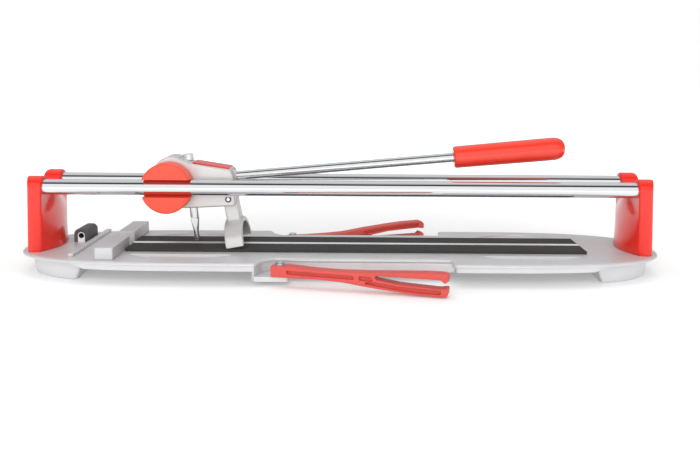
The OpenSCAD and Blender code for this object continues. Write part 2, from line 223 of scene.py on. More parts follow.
def lathe(bm, profile, place=ALONG_Z, segments=64):
    """A turned body: (radius, height) pairs round the local Z axis, closed at both ends."""
    rings = []
    for r, h in profile:
        rings.append(ring(bm, [(r * math.cos(TAU * i / segments), r * math.sin(TAU * i / segments), h)
                               for i in range(segments)], place))
    closed(bm, rings)


def socket_screw(bm, place, shank_r, length, head_r, head_h, dome=0.0):
    """A screw along local Z: the shank goes up from the origin, and the head with its socket is below."""
    segments = 48
    soft = 0.12 * head_h
    key = 0.52 * head_r
    rows = [(shank_r * 0.7, length), (shank_r, length - shank_r * 0.3), (shank_r, 0), (head_r - soft, 0),
            (head_r, -soft), (head_r, -(head_h - dome) + soft)]
    rows += [(head_r * math.cos(t) * 0.55 + head_r * 0.45, -(head_h - dome) - dome * math.sin(t))
             for t in (0.35, 0.8, 1.25)] if dome else [(head_r - soft, -head_h)]
    rings = [ring(bm, [(r * math.cos(TAU * i / segments), r * math.sin(TAU * i / segments), h)
                       for i in range(segments)], place) for r, h in rows]
    for scale, h in ((1.08, -head_h), (1.0, -head_h + 0.25), (0.98, -head_h * 0.45)):
        points = []
        for i in range(segments):
            a = TAU * i / segments
            r = key * scale * math.cos(math.pi / 6) / math.cos((a % (TAU / 6)) - TAU / 12)
            points.append((r * math.cos(a), r * math.sin(a), h))
        rings.append(ring(bm, points, place))
    closed(bm, rings)


def new_object(name, bm):
    bmesh.ops.remove_doubles(bm, verts=bm.verts, dist=2e-6)
    bmesh.ops.recalc_face_normals(bm, faces=bm.faces)
    mesh = bpy.data.meshes.new(name)
    bm.to_mesh(mesh)
    bm.free()
    obj = bpy.data.objects.new(name, mesh)
    bpy.context.scene.collection.objects.link(obj)
    return obj


def bake(obj):
    """Turns an object's modifiers into its mesh."""
    bpy.context.view_layer.update()
    shaped = obj.evaluated_get(bpy.context.evaluated_depsgraph_get())
    mesh = bpy.data.meshes.new_from_object(shaped)
    obj.modifiers.clear()
    obj.data = mesh


def combine(obj, bm, operation="DIFFERENCE"):
    """Cuts the builder's mesh out of an object, or joins it on."""
    tool = new_object("tool", bm)
    step = obj.modifiers.new("combine", "BOOLEAN")
    step.operation = operation
    step.object = tool
    step.solver = "EXACT"
    bake(obj)
    bpy.data.objects.remove(tool)


def soften(obj, width, segments=2, angle=32):
    step = obj.modifiers.new("soften", "BEVEL")
    step.width = width * MM
    step.segments = segments
    step.limit_method = "ANGLE"
    step.angle_limit = math.radians(angle)
    bake(obj)


def finish_piece(obj, body, look, nodes=(), angle=38):
    """Smooth shading with true corners, the material, and the piece's place in the frame."""
    obj.data.shade_smooth()
    obj.data.set_sharp_from_angle(angle=math.radians(angle))
    step = obj.modifiers.new("weighted", "WEIGHTED_NORMAL")
    step.keep_sharp = True
    step.weight = 80
    bake(obj)
    obj.data.materials.clear()
    obj.data.materials.append(LOOKS[look])
    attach(obj, body)
    if nodes:
        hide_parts(*nodes)
    return obj


# ---------- materials ----------


def wire(tree, source, target):
    tree.links.new(source, target)


def make_look(name, colour, rough, metal=0.0, coat=0.0, shade=0.06, patch=40, grain=900, bump=0.1,
              rough_spread=0.08, stretch=(1, 1, 1), specular=0.5):
    """A surface with slow colour patches, and fine grain in its roughness and its bump."""
    look = bpy.data.materials.new(name)
    look.use_nodes = True
    tree = look.node_tree
    nodes = tree.nodes
    skin = nodes["Principled BSDF"]
    skin.inputs["Metallic"].default_value = metal
    skin.inputs["Coat Weight"].default_value = coat
    skin.inputs["Coat Roughness"].default_value = 0.08
    skin.inputs["Specular IOR Level"].default_value = specular
    place = nodes.new("ShaderNodeTexCoord")
    grid = nodes.new("ShaderNodeMapping")
    grid.inputs["Scale"].default_value = stretch
    wire(tree, place.outputs["Object"], grid.inputs["Vector"])
    slow = nodes.new("ShaderNodeTexNoise")
    slow.inputs["Scale"].default_value = patch
    slow.inputs["Detail"].default_value = 4
    fine = nodes.new("ShaderNodeTexNoise")
    fine.inputs["Scale"].default_value = grain
    fine.inputs["Detail"].default_value = 3
    fine.inputs["Roughness"].default_value = 0.65
    for texture in (slow, fine):
        wire(tree, grid.outputs["Vector"], texture.inputs["Vector"])
    tint = nodes.new("ShaderNodeValToRGB")
    tint.color_ramp.elements[0].position = 0.3
    tint.color_ramp.elements[1].position = 0.7
    tint.color_ramp.elements[0].color = [c * (1 - shade) for c in colour] + [1]
    tint.color_ramp.elements[1].color = [min(1, c * (1 + shade)) for c in colour] + [1]
    wire(tree, slow.outputs["Fac"], tint.inputs["Fac"])
    wire(tree, tint.outputs["Color"], skin.inputs["Base Color"])
    spread = nodes.new("ShaderNodeMapRange")
    spread.inputs["To Min"].default_value = max(0.02, rough - rough_spread)
    spread.inputs["To Max"].default_value = min(1.0, rough + rough_spread)
    wire(tree, fine.outputs["Fac"], spread.inputs["Value"])
    wire(tree, spread.outputs["Result"], skin.inputs["Roughness"])
    relief = nodes.new("ShaderNodeBump")
    relief.inputs["Strength"].default_value = bump
    relief.inputs["Distance"].default_value = 0.0004
    wire(tree, fine.outputs["Fac"], relief.inputs["Height"])
    wire(tree, relief.outputs["Normal"], skin.inputs["Normal"])
    return look


LOOKS = {
    "cast": make_look("cast_look", (0.66, 0.66, 0.67), 0.38, metal=0.35, shade=0.03, grain=1400, bump=0.10),
    "stop": make_look("stop_look", (0.60, 0.60, 0.61), 0.48, metal=0.35, shade=0.04, grain=1500, bump=0.14),
    "head": make_look("head_look", (0.66, 0.65, 0.64), 0.38, metal=0.45, shade=0.03, grain=1200, bump=0.10),
    "post": make_look("post_look", (0.76, 0.020, 0.009), 0.30, coat=0.55, shade=0.03, grain=700, bump=0.002,
                      rough_spread=0.02, specular=0.3),
    "disc": make_look("disc_look", (0.84, 0.065, 0.030), 0.40, coat=0.1, shade=0.03, grain=900, bump=0.006,
                      rough_spread=0.04),
    "arm": make_look("arm_look", (0.62, 0.075, 0.060), 0.42, shade=0.05, grain=1100, bump=0.08),
    "grip": make_look("grip_look", (0.74, 0.030, 0.010), 0.26, coat=0.6, shade=0.04, grain=600, bump=0.003,
                      rough_spread=0.03),
    "chrome": make_look("chrome_look", (0.80, 0.81, 0.83), 0.07, metal=1.0, shade=0.02, grain=500, bump=0.012,
                        rough_spread=0.03, stretch=(1, 12, 12)),
    "plated": make_look("plated_look", (0.72, 0.72, 0.73), 0.24, metal=1.0, shade=0.05, grain=900, bump=0.04),
    "bright": make_look("bright_look", (0.82, 0.82, 0.82), 0.42, metal=0.6, shade=0.03, grain=900, bump=0.04),
    "black_steel": make_look("black_steel_look", (0.05, 0.05, 0.055), 0.38, metal=0.8, shade=0.1, bump=0.06),
    "rib": make_look("rib_look", (0.86, 0.86, 0.86), 0.30, metal=0.7, shade=0.03, grain=260, bump=0.03,
                     stretch=(1, 30, 30)),
    "rubber": make_look("rubber_look", (0.040, 0.039, 0.038), 0.72, shade=0.10, grain=1600, bump=0.30,
                        rough_spread=0.1, specular=0.35),
    "pad": make_look("pad_look", (0.03, 0.03, 0.03), 0.8, shade=0.1, grain=1500, bump=0.3),
    "dark_plastic": make_look("dark_plastic_look", (0.075, 0.075, 0.08), 0.5, shade=0.08, grain=1500,
                              bump=0.12),
    "light_plastic": make_look("light_plastic_look", (0.82, 0.82, 0.80), 0.45, shade=0.02, grain=1200,
                               bump=0.06),
    "carbide": make_look("carbide_look", (0.20, 0.20, 0.21), 0.3, metal=1.0, shade=0.08, bump=0.04),
}


def keep_cad(node, look):
    """Leaves a hidden or tiny CAD node in view with its own material."""
    obj = frame["nodes"][node]
    obj.data.materials.clear()
    obj.data.materials.append(LOOKS[look])


# ---------- base ----------

END_X = 150
END_POWER = 2.7
END_STEPS = 30
LENSES = ((-216, -109), (146, 248))
LENS_Y = 45
LENS_BOW = 26
FOOT_START = 257
FOOT_LOW = 0.4
PAD_X = 272
PAD_Y = 50


def end_point(degrees, d):
    """A point on the superellipse end of the base, moved inward by d."""
    a = math.radians(degrees)
    power = 2 / END_POWER
    return (END_X + (BASE_END - END_X - d) * max(math.cos(a), 0) ** power,
            (BASE_HALF - d) * max(math.sin(a), 0) ** power)


PIVOT_X = FRONT_PIVOT.x
BAY_Y = 62
BAY_END = 113
BAY_CURVE = [(PIVOT_X - 24.5, -BASE_HALF, 3), (PIVOT_X - 18.5, -68.5, 14), (PIVOT_X - 7, -57.5, 10),
             (PIVOT_X + 15, -BAY_Y, 25)]


def base_outline():
    corner = [end_point(90 * i / END_STEPS, 0) for i in range(END_STEPS + 1)]
    bay = BAY_CURVE + [(BAY_END, -BAY_Y, 2.5), (BAY_END, -BASE_HALF, 4)]
    front = [(-x, -y) for x, y in corner] + bay + [(x, -y) for x, y in reversed(corner)][:-1]
    rear_bay = [(p[0], -p[1], p[2]) for p in reversed(bay)]
    rear = corner + rear_bay + [(-x, y) for x, y in reversed(corner)][:-1]
    return [tuple(p) for p in rounded([(*p[:2], p[2] if len(p) > 2 else 0) for p in rear + front], 0)]


def lens(x0, x1, side):
    """Outline of one shallow pocket: straight inside, bowed outside."""
    steps = 26
    bowed = [(x0 + (x1 - x0) * i / steps, side * (LENS_Y + LENS_BOW * math.sin(math.pi * i / steps)), 0)
             for i in range(1, steps)]
    return ccw(rounded([(x0, side * LENS_Y, 2.5)] + bowed + [(x1, side * LENS_Y, 2.5)], 0))


def foot_section(d, wall_x, height, end):
    """One level of an end foot: the base's end moved inward by d, closed by a cross wall at wall_x."""
    cosine = ((wall_x - END_X) / (BASE_END - END_X - d)) ** (END_POWER / 2)
    limit = math.degrees(math.acos(cosine))
    half = [end_point(limit * i / 22, d) for i in range(23)]
    outline = [(x, -y) for x, y in reversed(half)] + half[1:]
    outline = [(*p, 0) for p in outline]
    outline[0] = (*outline[0][:2], 8)
    outline[-1] = (*outline[-1][:2], 8)
    return [(end * x, y, height) for x, y in rounded(outline, 0)]


def end_foot(bm, end):
    join = PLATE_LOW + 0.2
    rows = [(10, FOOT_START, join), (10.4, 258.2, 14), (11.4, 262, 5), (12, 263.6, 1.8), (12.5, 264.2, 0.8),
            (13.2, 265, FOOT_LOW), (14.6, 266.2, FOOT_LOW), (15.2, 266.8, 1), (15, 266, 6), (14, 260.5, join)]
    rings = [ring(bm, foot_section(d, wall_x, h, end)) for d, wall_x, h in rows]
    loft(bm, rings)
    bridge(bm, rings[-1], rings[0])
    for y in (-PAD_Y, PAD_Y):
        lathe(bm, [(9, 3), (9, join)], at(end * PAD_X, y, 0), 40)


def arm_lug(bm, side):
    """The pocket wall carried down to the lug that holds one side arm."""
    place = MIRROR_Y if side > 0 else ALONG_Z
    low = box("rear_arm_lug" if side > 0 else "front_arm_lug")[0].z
    outer = [p for p in inset(base_outline(), 1.7) if PIVOT_X - 27 < p[0] < PIVOT_X + 14 and p[1] < -55]
    band = outer + [(x - 1.8, y + 2.6) for x, y in reversed(outer)]
    prism(bm, band, low, PLATE_LOW + 0.2, place, edge=0.5, steps=2)
    floor = [(PIVOT_X - 9, -57), (PIVOT_X - 22, -70), (PIVOT_X - 26.5, -80), (PIVOT_X - 26.5, -85.6, 2.5),
             (PIVOT_X + 8, -85.6, 2), (PIVOT_X + 8, -59)]
    prism(bm, rounded(floor, 0.5), low, low + 5.2, place, edge=0.8)
    wall = [(PIVOT_X + 9, -BAY_Y), (BAY_END + 3, -BAY_Y),
            (BAY_END + 3, -BAY_Y + 3), (PIVOT_X + 9, -BAY_Y + 3)]
    prism(bm, wall, 10, PLATE_LOW + 0.2, place, edge=0.6, steps=2)


def skirt_height(x, height):
    """The skirt stops where the end feet begin."""
    if height > BASE_TOP - 3.5:
        return height
    share = min(1, max(0, (abs(x) - FOOT_START) / 5))
    return mixed(height, BASE_TOP - 3.7 + 0.05 * (height - SKIRT_LOW), share)


def build_base():
    bm = bmesh.new()
    outline = base_outline()
    top = BASE_TOP
    foot = SKIRT_LOW
    rim = [(3.2, top), (2.3, top), (1.4, top - 0.2), (0.7, top - 0.6), (0.2, top - 1.2), (0, top - 2),
           (0.1, top - 2.6), (0.6, top - 3.1), (1.5, top - 3.2), (1.8, top - 3.6), (1.8, foot + 0.7),
           (2, foot + 0.15), (2.4, foot), (3.4, foot), (3.8, foot + 0.4), (4, PLATE_LOW)]
    rings = [ring(bm, [(*p, skirt_height(p[0], h)) for p in inset(outline, d)]) for d, h in rim]
    loft(bm, rings)
    pockets = []
    for x0, x1 in LENSES:
        for side in (-1, 1):
            shape = lens(x0, x1, side)
            rows = [(-0.5, BASE_TOP), (-0.15, BASE_TOP - 0.15), (0.05, BASE_TOP - 0.6),
                    (0.35, BASE_TOP - 2.0), (1.0, BASE_TOP - 2.5), (1.9, BASE_TOP - 2.6)]
            steps = [ring(bm, [(*p, h) for p in inset(shape, d)]) for d, h in rows]
            for share, loop in zip((0.55, 0.95, 1), steps[-3:]):
                for v in loop:
                    x, y = v.co.x / MM, abs(v.co.y) / MM
                    bow = LENS_BOW * math.sin(math.pi * min(1, max(0, (x - x0) / (x1 - x0))))
                    near = min(1, max(0, 1 - (y - LENS_Y) / max(bow, 1)))
                    slide = 9 * share * (bow / LENS_BOW) ** 0.7 * near
                    v.co.y += side * slide * MM
            loft(bm, steps)
            cap(bm, steps[-1])
            pockets.append(steps[0])
    cap(bm, rings[0], *pockets)
    cap(bm, rings[-1])
    ridge = rounded([(-273, -60), (-267, -60), (-267, 73), (-273, 73)], 1.5)
    prism(bm, ridge, BASE_TOP - 0.5, BASE_TOP + 3.2, edge=1.2)
    for end in (-1, 1):
        end_foot(bm, end)
    for side in (-1, 1):
        arm_lug(bm, side)
    obj = new_object("base_casting", bm)
    finish_piece(obj, "root", "cast",
                 ("base_plate", "left_foot", "right_foot", "front_arm_lug", "rear_arm_lug"))


def build_pads():
    bm = bmesh.new()
    for x in (-PAD_X, PAD_X):
        for y in (-PAD_Y, PAD_Y):
            lathe(bm, [(6.6, 0), (7.6, 0.3), (8, 1), (8, 2.6), (7.6, 3), (2.5, 3), (2.5, 10.6), (2.1, 11)],
                  at(x, y, 0), 40)
    finish_piece(new_object("rubber_feet", bm), "root", "pad", ("foot_pads",))


def build_strips():
    for node, name in (("rubber_strip_front", "front_strip"), ("rubber_strip_rear", "rear_strip")):
        low, high = box(node)
        bm = bmesh.new()
        outline = rounded([(low.x, low.y), (high.x, low.y), (high.x, high.y), (low.x, high.y)], 0.8)
        prism(bm, outline, low.z, high.z, edge=0.45, steps=2)
        finish_piece(new_object(name, bm), "root", "rubber", (node,))
    low, high = box("breaking_rib")
    bm = bmesh.new()
    shoulder = high.z - 1.1
    profile = [(low.y, low.z), (high.y, low.z), (high.y, shoulder, 0.5), (0.9, high.z, 0.6),
               (-0.9, high.z, 0.6), (low.y, shoulder, 0.5)]
    prism(bm, rounded(profile, 0.2, 3), low.x, high.x, ALONG_X, edge=0.2, steps=2)
    finish_piece(new_object("score_rib", bm), "root", "rib", ("breaking_rib",))


def build_stops():
    for node in ("stop_block_front", "stop_block_rear"):
        low, high = box(node)
        bm = bmesh.new()
        outline = rounded([(low.x, low.y), (high.x, low.y), (high.x, high.y), (low.x, high.y)], 1.4)
        prism(bm, outline, low.z, high.z, edge=0.9)
        finish_piece(new_object("cast_" + node, bm), "root", "stop", (node,))


def build_case():
    low, high = box("wheel_case")
    mid = (low.x + high.x) / 2
    half = (high.x - low.x) / 2
    bm = bmesh.new()
    slot = 4.1
    outline = [(mid - half, low.z, 0.6), (mid - half, high.z, 5.5), (mid + half, high.z, 5.5),
               (mid + half, low.z, 0.6), (mid + slot, low.z, 0), (mid + slot, low.z + 11, slot - 0.1),
               (mid - slot, low.z + 11, slot - 0.1), (mid - slot, low.z, 0)]
    prism(bm, rounded(outline, 0, 8), low.y, high.y, ALONG_Y, edge=0.8)
    prism(bm, [(mid - slot - 1, low.z + 0.2), (mid + slot + 1, low.z + 0.2), (mid + slot + 1, low.z + 11.5),
               (mid - slot - 1, low.z + 11.5)], high.y - 9, high.y - 0.6, ALONG_Y, edge=0.3)
    # Painted shade: a thin dark sleeve lines the cradle's bore, so the hole reads black.
    bore_z = low.z + 7
    prism(bm, circle(mid, bore_z, 2.9, 40), low.y + 1.3, high.y - 9.2, ALONG_Y, edge=0.05, steps=1,
          holes=[circle(mid, bore_z, 2.6, 40)])
    finish_piece(new_object("wheel_case_shell", bm), "root", "dark_plastic", ("wheel_case",))
    low, high = box("case_insert")
    cradle = [(low.x, low.z), (high.x, low.z), (high.x, high.z, 3.6), (low.x, high.z, 3.6)]
    bm = bmesh.new()
    prism(bm, rounded(cradle, 0), low.y, high.y, ALONG_Y, edge=0.25, steps=2,
          holes=[circle(mid, low.z + 7, 2.95, 40)])
    finish_piece(new_object("wheel_cradle", bm), "root", "light_plastic", ("case_insert",))


# ---------- posts and rails ----------

POST_HALF = 40
HUMP_R = 11.5
SADDLE_Z = 92


def post_inner(y, z):
    """How far the inner face lies outward of the post's top plane. It bows in, and less so higher up."""
    h = min(1, max(0, (z - BASE_TOP) / (SADDLE_Z - BASE_TOP)))
    top_fade = min(1, max(0, (z - 58) / 26))
    reach = POST_HALF - 27 * top_fade * top_fade * (3 - 2 * top_fade)
    return mixed(2.5, 0, h) - mixed(11.5, 1.2, h ** 0.8) * max(0, 1 - (y / reach) ** 2)


def post_outer(y, z):
    h = min(1, max(0, (z - BASE_TOP) / (SADDLE_Z - BASE_TOP)))
    return mixed(16, 14.2, h) + mixed(5, 6.8, h) * (1 - min(1, abs(y) / POST_HALF) ** 2)


def post_silhouette():
    meet = math.degrees(math.asin((SADDLE_Z - RAIL_Z) / HUMP_R))
    front = [(-POST_HALF, BASE_TOP - 0.3), (-POST_HALF, RAIL_Z - 7)]
    front += arc(-RAIL_Y, RAIL_Z, HUMP_R, 175, meet + 16, 22)
    front += arc(-RAIL_Y + HUMP_R + 4.1, SADDLE_Z + 2.9, 3.4, 220, 268, 5)
    columns = [(-POST_HALF, BASE_TOP - 0.3 + (RAIL_Z - 7 - BASE_TOP) * k / 14) for k in range(14)]
    left = columns + front[1:]
    saddle = [(-6, SADDLE_Z - 0.6), (0, SADDLE_Z - 0.7), (6, SADDLE_Z - 0.6)]
    right = [(-y, z) for y, z in reversed(left)]
    foot = [(POST_HALF - 8 * k, BASE_TOP - 0.3) for k in range(1, 10)]
    return ccw(left + saddle + right + foot)


def skin(bm, loop, face, place, step=4.0):
    """Fills a ring with a curved face: x = face(y, z), from a grid of points inside the ring's outline."""
    flat = [Vector(p) for p in loop["flat"]]
    low = [min(p[k] for p in flat) for k in (0, 1)]
    high = [max(p[k] for p in flat) for k in (0, 1)]
    inner = []
    rows = int((high[1] - low[1]) / step)
    columns = int((high[0] - low[0]) / step)
    guard = inset([tuple(p) for p in flat], step * 0.45)
    for i in range(1, columns):
        for k in range(1, rows):
            p = Vector((low[0] + i * (high[0] - low[0]) / columns, low[1] + k * (high[1] - low[1]) / rows))
            if inside(p, guard):
                inner.append(p)
    points = flat + inner
    edges = [(i, (i + 1) % len(flat)) for i in range(len(flat))]
    verts, _, faces, origin, _, _ = delaunay_2d_cdt(points, edges, [], 1, 1e-6)
    made = []
    for v, source in zip(verts, origin):
        if source and source[0] < len(flat):
            made.append(loop["verts"][source[0]])
        else:
            made.append(bm.verts.new((place @ Vector((face(v.x, v.y), v.x, v.y))) * MM))
    for f in faces:
        bm.faces.new([made[i] for i in f])


def inside(p, outline):
    hit = False
    for a, b in zip(outline, outline[1:] + outline[:1]):
        if (a[1] > p.y) != (b[1] > p.y) and p.x < (b[0] - a[0]) * (p.y - a[1]) / (b[1] - a[1]) + a[0]:
            hit = not hit
    return hit


def build_post(name, node, mirror):
    """An end post: the silhouette seen along the rails, between a bowed inner face and a bowed outer face."""
    place = mirror @ at(-POST_X, 0, 0)
    outline = post_silhouette()
    bm = bmesh.new()
    edge = 2.4
    steps = 4
    turns = [math.radians(90 * k / steps) for k in range(steps + 1)]
    outer = [(edge * (1 - math.sin(t)), lambda y, z, h=edge * (1 - math.cos(t)): -post_outer(y, z) + h)
             for t in turns]
    inner = [(edge * (1 - math.sin(t)), lambda y, z, h=edge * (1 - math.cos(t)): -post_inner(y, z) - h)
             for t in reversed(turns)]
    flank = [(-1.1 * math.sin(math.pi * share) ** 0.8,
              lambda y, z, m=share: -mixed(post_outer(y, z) - edge, post_inner(y, z) + edge, m))
             for share in (0.2, 0.35, 0.5, 0.65, 0.8)]
    rings = outer + flank + inner
    made = []
    for d, face in rings:
        flat = inset(outline, d)
        if d < 0:
            hold = [min(1, max(0, (z - 70) / 14)) for _, z in outline]
            flat = [(mixed(a[0], b[0], t), mixed(a[1], b[1], t)) for a, b, t in zip(flat, outline, hold)]
        made.append({"flat": flat, "verts": ring(bm, [(face(*p), *p) for p in flat], place)})
    loft(bm, [m["verts"] for m in made])
    skin(bm, made[0], lambda y, z: -post_outer(y, z), place)
    skin(bm, made[-1], lambda y, z: -post_inner(y, z), place)
    obj = new_object(name, bm)
    for y in (-RAIL_Y, RAIL_Y):
        bore = bmesh.new()
        lathe(bore, [(7, -30), (7, -10)], place @ at(0, y, RAIL_Z) @ turn(90, "Y"), 48)
        combine(obj, bore)
    finish_piece(obj, "root", "post", (node,), angle=50)


def build_rails():
    for node in ("front_rail", "rear_rail"):
        y = -RAIL_Y if node == "front_rail" else RAIL_Y
        bm = bmesh.new()
        ends = [(RAIL_R - 1, -RAIL_END), (RAIL_R, -RAIL_END + 1)]
        rows = ends + [(RAIL_R, x) for x in range(-300, 301, 50)] + [(r, -x) for r, x in reversed(ends)]
        lathe(bm, rows, at(0, y, RAIL_Z) @ turn(90, "Y"), 96)
        finish_piece(new_object("chromed_" + node, bm), "root", "chrome", (node,))
    bm = bmesh.new()
    head_low = POST_X + 10
    for end in (-1, 1):
        for y in (-RAIL_Y, RAIL_Y):
            socket_screw(bm, at(end * head_low, y, RAIL_Z) @ turn(-90 * end, "Y"), 4, 22, 6.5, 4.5)
    finish_piece(new_object("rail_end_screws", bm), "root", "plated", ("rail_screws",))


# ---------- carriage ----------


def build_slider(node, side):
    """Round slider with an open channel that rides on one rail."""
    low, high = box(node)
    face = max(abs(low.y), abs(high.y))
    hub_end = min(abs(low.y), abs(high.y))
    back = hub_end + 9.8
    r = (high.z - low.z) / 2
    place = (ALONG_Z if side < 0 else MIRROR_Y) @ at(DISC.x, 0, DISC.z) @ turn(90, "X")
    bm = bmesh.new()
    rows = [(8, hub_end), (11.6, hub_end), (12, hub_end + 0.4), (12, back), (r - 0.8, back),
            (r - 0.2, back + 0.3), (r, back + 0.9), (r, face - 1.5), (r - 0.35, face - 0.7),
            (r - 1.1, face - 0.15), (r - 2, face)]
    lathe(bm, rows, place, 128)
    obj = new_object("disc_" + node, bm)
    half = 9.15
    channel = [(-face - 3, -half), (-RAIL_Y, -half)] + arc(-RAIL_Y, 0, RAIL_R + 0.15, -90, 90, 24)[1:-1]
    channel += [(-RAIL_Y, half), (-face - 3, half)]
    cutter = bmesh.new()
    move = (ALONG_Z if side < 0 else MIRROR_Y) @ at(DISC.x, 0, DISC.z) @ ALONG_X
    prism(cutter, channel, -r - 6, r + 6, move, edge=0.01, steps=1)
    combine(obj, cutter)
    soften(obj, 0.5, 2, 40)
    finish_piece(obj, "carriage", "disc", (node,))


HEAD_HALF = 17.5
HEAD_HUMP_R = 30.5
HEAD_HUMP_FALL = 6
LEVER_RISE = 5.2
HOLDER_TILT = 5


def on_lever():
    """Along the lever's axis: origin at the head's nose, Z out towards the grip."""
    return at(DISC.x + 62.6, 0, DISC.z + 8.7) @ turn(90 - LEVER_RISE, "Y")


def on_holder():
    """Along the wheel holder's axis: origin at the wheel's centre, Z up the holder."""
    return at(WHEEL.x, 0, WHEEL.z) @ turn(-HOLDER_TILT, "Y")


def build_head():
    x, z = DISC.x, DISC.z
    outline = [(x + 68, z - 21, 3), (x + 68, z - 4, 4), (x + 66, z + 12, 6), (x + 63.5, z + 17.2, 3),
               (x + 20, z + 23.9, 5), (x + 9, z + 28.6, 5)]
    for degrees in range(72, 252, 4):
        r = HEAD_HUMP_R - HEAD_HUMP_FALL * min(1, max(0, (degrees - 96) / 40)) ** 1.2
        a = math.radians(degrees)
        outline.append((x + r * math.cos(a), z + r * math.sin(a), 0))
    outline += [(x + 4, z - 23.7, 10), (x + 20, z - 23.7, 8), (x + 42, z - 22.5, 8)]
    bm = bmesh.new()
    prism(bm, rounded(outline, 0), -HEAD_HALF, HEAD_HALF, ALONG_Y, edge=2.2, steps=4)
    obj = new_object("head_body", bm)
    slot = bmesh.new()
    mouth = [(x + 43, z - 40), (x + 90, z - 40), (x + 90, z - 3.5), (x + 43, z - 3.5)]
    prism(slot, rounded(mouth, 2), -9.2, 9.2, ALONG_Y, edge=0.3, steps=2)
    combine(obj, slot)
    boss = bmesh.new()
    lathe(boss, [(7.4, 66), (7.4, 83.2), (6.9, 84)], on_holder(), 48)
    combine(obj, boss, "UNION")
    sleeve = bmesh.new()
    lathe(sleeve, [(6.2, -10), (6.2, 4.2), (5.6, 5)], on_lever(), 48)
    combine(obj, sleeve, "UNION")
    bore = bmesh.new()
    lathe(bore, [(5.05, -19), (5.05, 20)], on_lever(), 48)
    combine(obj, bore)
    soften(obj, 0.6, 2, 40)
    finish_piece(obj, "head", "head", ("head_casting",))
    low, high = box("head_top_strip")
    slope = [(x + 23, z + 22.4), (x + 62, z + 16.8), (x + 61.6, z + 18.9, 0.8), (x + 23, z + 24.9, 0.8)]
    bm = bmesh.new()
    prism(bm, rounded(slope, 0.1, 4), low.y, high.y, ALONG_Y, edge=0.9)
    finish_piece(new_object("head_red_strip", bm), "head", "post", ("head_top_strip",))


def build_lever():
    grip_start = 236.3
    grip_len = 118
    rod_r = 5
    bm = bmesh.new()
    rows = [(rod_r - 0.6, -18), (rod_r, -17.4)] + [(rod_r, s) for s in range(0, 240, 40)]
    lathe(bm, rows + [(rod_r, grip_start + 86), (rod_r - 0.6, grip_start + 87)], on_lever(), 64)
    finish_piece(new_object("lever_bar", bm), "head", "chrome", ("lever_rod",))
    r0 = 11.6
    r1 = 12.1
    rows = [(5.06, 0.6), (7.2, 0.1), (r0 - 2.4, 0), (r0 - 1.2, 0.35), (r0 - 0.45, 1.2), (r0, 2.8)]
    rows += [(mixed(r0, r1, t / 8), mixed(2.8, grip_len - 26, t / 8)) for t in range(1, 9)]
    for k in range(1, 15):
        a = math.radians(90 * k / 15)
        rows.append((r1 * math.cos(a) ** 0.72, grip_len - 13 + 13 * math.sin(a) ** 0.9))
    rows.append((0.6, grip_len))
    bm = bmesh.new()
    lathe(bm, rows, on_lever() @ at(0, 0, grip_start), 96)
    finish_piece(new_object("lever_handgrip", bm), "head", "grip", ("lever_grip",))


def build_holder():
    bm = bmesh.new()
    lathe(bm, [(1.2, -1.6), (2.4, -0.6), (2.8, 1), (2.8, 9), (4.2, 18), (4.6, 22), (4.75, 24), (4.75, 84)],
          on_holder(), 64)
    obj = new_object("wheel_stem", bm)
    for side in (-1, 1):
        flat = bmesh.new()
        y0, y1 = sorted((side * 2.9, side * 9))
        prism(flat, [(-9, -5), (9, -5), (9, 20), (-9, 26)], y0, y1, on_holder() @ ALONG_Y, edge=0.01, steps=1)
        combine(obj, flat)
    groove = bmesh.new()
    fork = [(-6, -4), (6, -4), (6, 4.5), (-6, 4.5)]
    prism(groove, fork, -0.8, 0.8, on_holder() @ ALONG_Y, edge=0.01, steps=1)
    combine(obj, groove)
    soften(obj, 0.25, 2, 30)
    finish_piece(obj, "head", "plated", ("wheel_holder",))
    bm = bmesh.new()
    socket_screw(bm, on_holder() @ at(0, 0, 84.4) @ turn(180, "X"), 2.5, 12, 5.2, 7.6)
    finish_piece(new_object("stem_screw", bm), "head", "bright", ("holder_screw",))
    bm = bmesh.new()
    lathe(bm, [(0.8, -0.6), (2, -0.6), (3, -0.08), (3, 0.08), (2, 0.6), (0.8, 0.6)],
          at(WHEEL.x, 0, WHEEL.z) @ turn(90, "X"), 64)
    finish_piece(new_object("carbide_wheel", bm), "wheel", "carbide", ("scoring_wheel",))


